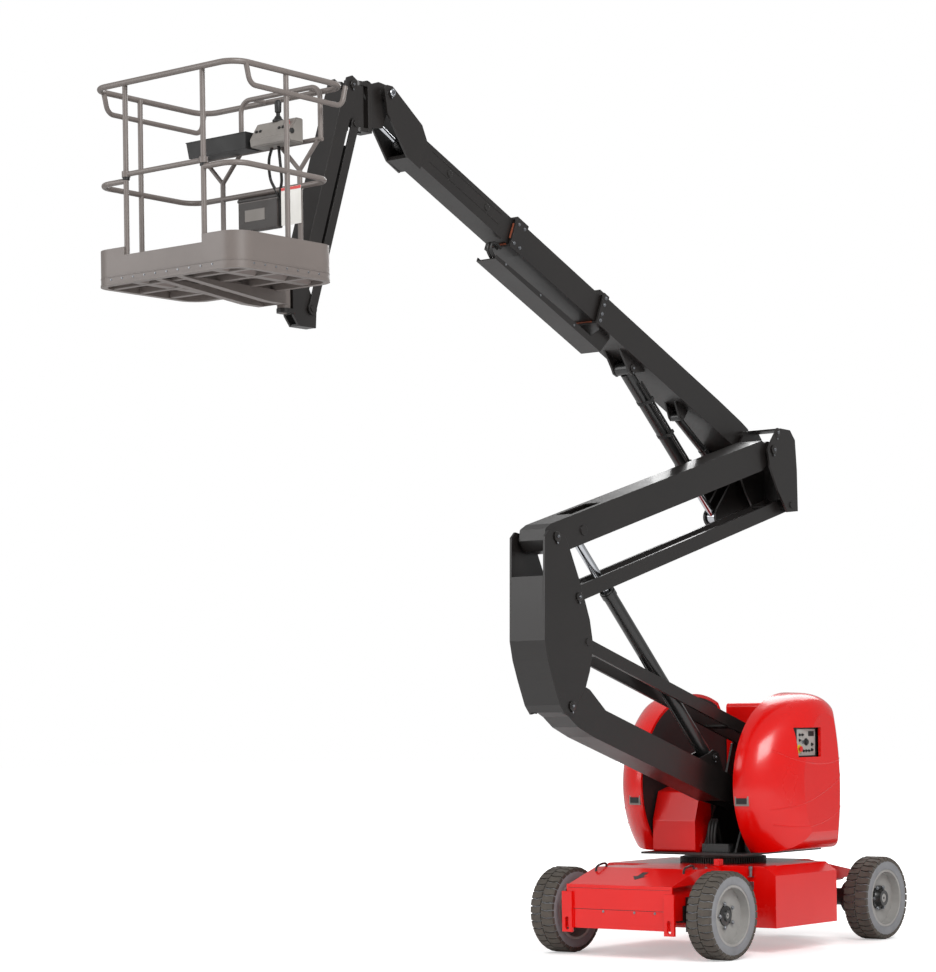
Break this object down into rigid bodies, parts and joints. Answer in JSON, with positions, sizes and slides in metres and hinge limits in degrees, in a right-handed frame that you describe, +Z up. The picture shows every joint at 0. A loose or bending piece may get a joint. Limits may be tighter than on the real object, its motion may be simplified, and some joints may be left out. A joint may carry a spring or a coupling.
{
  "type": "articulating boom lift",
  "caption": "Four-wheel boom lift with a slewing turret, a folding tower, a telescopic boom, a jib and a railed basket that stays level.",
  "frame": {"origin": "on the floor, below the middle of the bounding box", "axes": "+X towards the front, the way the boom points; +Y to the machine's left; +Z up"},
  "size_m": [6.7025, 1.5, 5.5935],
  "materials": {
    "red_paint": "gloss",
    "dark_paint": "satin",
    "warm_grey_paint": "satin",
    "light_rim": "satin",
    "tyre": "matte",
    "chrome": "polished",
    "black_plastic": "matte",
    "grey_metal": "brushed"
  },
  "bodies": {
    "chassis": {"chassis_frame": "red_paint", "front_axle": "dark_paint", "rear_axle": "dark_paint", "slew_ring": "grey_metal"},
    "steering_left": {"steering_knuckle_left": "dark_paint"},
    "front_left_wheel": {"front_left_tyre": "tyre", "front_left_rim": "light_rim"},
    "rear_left_wheel": {"rear_left_tyre": "tyre", "rear_left_rim": "light_rim"},
    "steering_right": {"steering_knuckle_right": "dark_paint"},
    "front_right_wheel": {"front_right_tyre": "tyre", "front_right_rim": "light_rim"},
    "rear_right_wheel": {"rear_right_tyre": "tyre", "rear_right_rim": "light_rim"},
    "turret": {"turret_frame": "dark_paint", "counterweight": "dark_paint", "rear_hood": "red_paint", "cover_left": "red_paint", "cover_right": "red_paint", "centre_cover": "red_paint", "ground_control_panel": "black_plastic"},
    "lower_arm": {"lower_arm": "dark_paint"},
    "lower_link": {"lower_link": "dark_paint"},
    "knee": {"knee": "dark_paint"},
    "upper_arm": {"upper_arm": "dark_paint"},
    "upper_link": {"upper_link": "dark_paint"},
    "rear_knuckle": {"rear_knuckle": "dark_paint"},
    "tower_cylinder_barrel": {"tower_cylinder_barrel": "dark_paint"},
    "tower_cylinder_rod": {"tower_cylinder_rod": "chrome"},
    "boom_base": {"boom_base": "dark_paint"},
    "boom_cylinder_barrel": {"boom_cylinder_barrel": "dark_paint"},
    "boom_cylinder_rod": {"boom_cylinder_rod": "chrome"},
    "levelling_master_barrel": {"levelling_master_barrel": "dark_paint"},
    "levelling_master_rod": {"levelling_master_rod": "chrome"},
    "boom_mid": {"boom_mid": "dark_paint"},
    "boom_fly": {"boom_fly": "dark_paint"},
    "levelling_bracket": {"levelling_bracket": "dark_paint"},
    "levelling_slave_barrel": {"levelling_slave_barrel": "dark_paint"},
    "levelling_slave_rod": {"levelling_slave_rod": "chrome"},
    "swing_bracket": {"swing_bracket": "dark_paint"},
    "jib_arm": {"jib_arm": "dark_paint"},
    "jib_link": {"jib_link": "dark_paint"},
    "jib_foot": {"jib_foot": "dark_paint"},
    "jib_cylinder_barrel": {"jib_cylinder_barrel": "dark_paint"},
    "jib_cylinder_rod": {"jib_cylinder_rod": "chrome"},
    "basket": {"basket_floor": "warm_grey_paint", "basket_rails": "warm_grey_paint", "platform_console": "black_plastic"},
    "drop_bar": {"drop_bar": "warm_grey_paint"}
  },
  "joints": [
    {"name": "steering_left", "type": "hinge", "parent": "chassis", "child": "steering_left", "pos_m": [-1.051, 0.61, 0.3], "axis": [0, 0, 1], "range_deg": [-35, 35]},
    {"name": "front_left_wheel", "type": "hinge", "parent": "steering_left", "child": "front_left_wheel", "pos_m": [-1.051, 0.655, 0.3], "axis": [0, 1, 0], "continuous": true},
    {"name": "rear_left_wheel", "type": "hinge", "parent": "chassis", "child": "rear_left_wheel", "pos_m": [-3.051, 0.655, 0.3], "axis": [0, 1, 0], "continuous": true},
    {"name": "steering_right", "type": "hinge", "parent": "chassis", "child": "steering_right", "pos_m": [-1.051, -0.61, 0.3], "axis": [0, 0, 1], "range_deg": [-35, 35]},
    {"name": "front_right_wheel", "type": "hinge", "parent": "steering_right", "child": "front_right_wheel", "pos_m": [-1.051, -0.655, 0.3], "axis": [0, 1, 0], "continuous": true},
    {"name": "rear_right_wheel", "type": "hinge", "parent": "chassis", "child": "rear_right_wheel", "pos_m": [-3.051, -0.655, 0.3], "axis": [0, 1, 0], "continuous": true},
    {"name": "slew", "type": "hinge", "parent": "chassis", "child": "turret", "pos_m": [-2.051, 0, 0.63], "axis": [0, 0, 1], "range_deg": [-177.5, 177.5]},
    {"name": "tower_lift", "type": "hinge", "parent": "turret", "child": "lower_arm", "pos_m": [-2.051, 0.14, 1.05], "axis": [0, -1, 0], "range_deg": [-20, 50]},
    {"name": "lower_link_turn", "type": "hinge", "parent": "turret", "child": "lower_link", "pos_m": [-2.234, 0.14, 1.467], "axis": [0, -1, 0], "range_deg": [-20.01, 50.01]},
    {"name": "knee_turn", "type": "hinge", "parent": "lower_arm", "child": "knee", "pos_m": [0.10199, 0.14, 1.72058], "axis": [0, -1, 0], "range_deg": [-50.01, 20.01]},
    {"name": "upper_arm_turn", "type": "hinge", "parent": "knee", "child": "upper_arm", "pos_m": [0.23999, 0.14, 2.81458], "axis": [0, -1, 0], "range_deg": [-50.01, 20.01]},
    {"name": "upper_link_turn", "type": "hinge", "parent": "knee", "child": "upper_link", "pos_m": [0.00999, 0.14, 2.42958], "axis": [0, -1, 0], "range_deg": [-50.01, 20.01]},
    {"name": "rear_knuckle_turn", "type": "hinge", "parent": "upper_arm", "child": "rear_knuckle", "pos_m": [-2.34388, 0.14, 3.54087], "axis": [0, -1, 0], "range_deg": [-20.01, 50.01]},
    {"name": "tower_cylinder_turn", "type": "hinge", "parent": "lower_arm", "child": "tower_cylinder_barrel", "pos_m": [-1.651, 0.14, 1.354], "axis": [0, -1, 0], "range_deg": [-16.93, 6.78]},
    {"name": "tower_cylinder_stroke", "type": "slide", "parent": "tower_cylinder_barrel", "child": "tower_cylinder_rod", "axis": [0.7143, 0, 0.6998], "range_m": [-0.38461, 0.96078]},
    {"name": "boom_lift", "type": "hinge", "parent": "rear_knuckle", "child": "boom_base", "pos_m": [-2.40088, -0.14, 3.66687], "axis": [0, -1, 0], "range_deg": [-23.8, 51.2]},
    {"name": "boom_cylinder_turn", "type": "hinge", "parent": "boom_base", "child": "boom_cylinder_barrel", "pos_m": [-1.1171, -0.14, 4.04947], "axis": [0, -1, 0], "range_deg": [-11.35, 5.28]},
    {"name": "boom_cylinder_stroke", "type": "slide", "parent": "boom_cylinder_barrel", "child": "boom_cylinder_rod", "axis": [-0.7435, 0, -0.6687], "range_m": [-0.21291, 0.45744]},
    {"name": "levelling_master_turn", "type": "hinge", "parent": "boom_base", "child": "levelling_master_barrel", "pos_m": [-1.74479, -0.14, 3.76279], "axis": [0, -1, 0], "range_deg": [-6.85, 3.19]},
    {"name": "levelling_master_stroke", "type": "slide", "parent": "levelling_master_barrel", "child": "levelling_master_rod", "axis": [-0.8367, 0, -0.5477], "range_m": [-0.10815, 0.23208]},
    {"name": "telescope_mid", "type": "slide", "parent": "boom_base", "child": "boom_mid", "axis": [0.915, 0, 0.4035], "range_m": [-0.75, 0.4]},
    {"name": "telescope_fly", "type": "slide", "parent": "boom_mid", "child": "boom_fly", "axis": [0.915, 0, 0.4035], "range_m": [-0.75, 0.4]},
    {"name": "level_turn", "type": "hinge", "parent": "boom_fly", "child": "levelling_bracket", "pos_m": [1.43115, -0.14, 5.5275], "axis": [0, -1, 0], "range_deg": [-51.21, 23.81]},
    {"name": "levelling_slave_turn", "type": "hinge", "parent": "boom_fly", "child": "levelling_slave_barrel", "pos_m": [0.88059, -0.14, 5.0486], "axis": [0, -1, 0], "range_deg": [-2.13, 4.57]},
    {"name": "levelling_slave_stroke", "type": "slide", "parent": "levelling_slave_barrel", "child": "levelling_slave_rod", "axis": [0.8908, 0, 0.4543], "range_m": [-0.1328, 0.062]},
    {"name": "jib_swing", "type": "hinge", "parent": "levelling_bracket", "child": "swing_bracket", "pos_m": [1.64915, -0.14, 5.5245], "axis": [0, 0, 1], "range_deg": [-70, 70]},
    {"name": "jib_lift", "type": "hinge", "parent": "swing_bracket", "child": "jib_arm", "pos_m": [1.77815, -0.14, 5.5245], "axis": [0, -1, 0], "range_deg": [0, 132]},
    {"name": "jib_link_turn", "type": "hinge", "parent": "swing_bracket", "child": "jib_link", "pos_m": [1.73015, -0.14, 5.2965], "axis": [0, -1, 0], "range_deg": [-0.01, 132.01]},
    {"name": "jib_foot_turn", "type": "hinge", "parent": "jib_arm", "child": "jib_foot", "pos_m": [2.19013, -0.14, 4.3507], "axis": [0, -1, 0], "range_deg": [-132.01, 0.01]},
    {"name": "jib_cylinder_turn", "type": "hinge", "parent": "jib_arm", "child": "jib_cylinder_barrel", "pos_m": [2.03647, -0.14, 4.78851], "axis": [0, -1, 0], "range_deg": [-0.848, 0.01]},
    {"name": "jib_cylinder_stroke", "type": "slide", "parent": "jib_cylinder_barrel", "child": "jib_cylinder_rod", "axis": [-0.4161, 0, 0.9093], "range_m": [-0.0005, 0.20097]},
    {"name": "basket_rotate", "type": "hinge", "parent": "jib_foot", "child": "basket", "pos_m": [2.34013, -0.14, 4.17], "axis": [0, 0, 1], "range_deg": [-66, 66]},
    {"name": "drop_bar_lift", "type": "slide", "parent": "basket", "child": "drop_bar", "axis": [0, 0, 1], "range_m": [0, 0.35]}
  ],
  "couplings": [
    {"joint": "steering_right", "follows": "steering_left", "ratio": 1},
    {"joint": "lower_link_turn", "follows": "tower_lift", "ratio": 1},
    {"joint": "knee_turn", "follows": "tower_lift", "ratio": -1},
    {"joint": "upper_arm_turn", "follows": "tower_lift", "ratio": -1},
    {"joint": "upper_link_turn", "follows": "tower_lift", "ratio": -1},
    {"joint": "rear_knuckle_turn", "follows": "tower_lift", "ratio": 1},
    {"joint": "tower_cylinder_turn", "follows": "tower_lift", "ratio": -0.33845},
    {"joint": "tower_cylinder_stroke", "follows": "tower_lift", "m_per_rad": 1.1004},
    {"joint": "boom_cylinder_turn", "follows": "boom_lift", "ratio": -0.22152},
    {"joint": "boom_cylinder_stroke", "follows": "boom_lift", "m_per_rad": 0.51135},
    {"joint": "levelling_master_turn", "follows": "boom_lift", "ratio": -0.13365},
    {"joint": "levelling_master_stroke", "follows": "boom_lift", "m_per_rad": 0.25915},
    {"joint": "level_turn", "follows": "boom_lift", "ratio": -1},
    {"joint": "levelling_slave_turn", "follows": "boom_lift", "ratio": 0.089},
    {"joint": "levelling_slave_stroke", "follows": "boom_lift", "m_per_rad": -0.14805},
    {"joint": "jib_link_turn", "follows": "jib_lift", "ratio": 1},
    {"joint": "jib_foot_turn", "follows": "jib_lift", "ratio": -1},
    {"joint": "jib_cylinder_turn", "follows": "jib_lift", "ratio": -0.006351},
    {"joint": "jib_cylinder_stroke", "follows": "jib_lift", "m_per_rad": 0.087015}
  ]
}
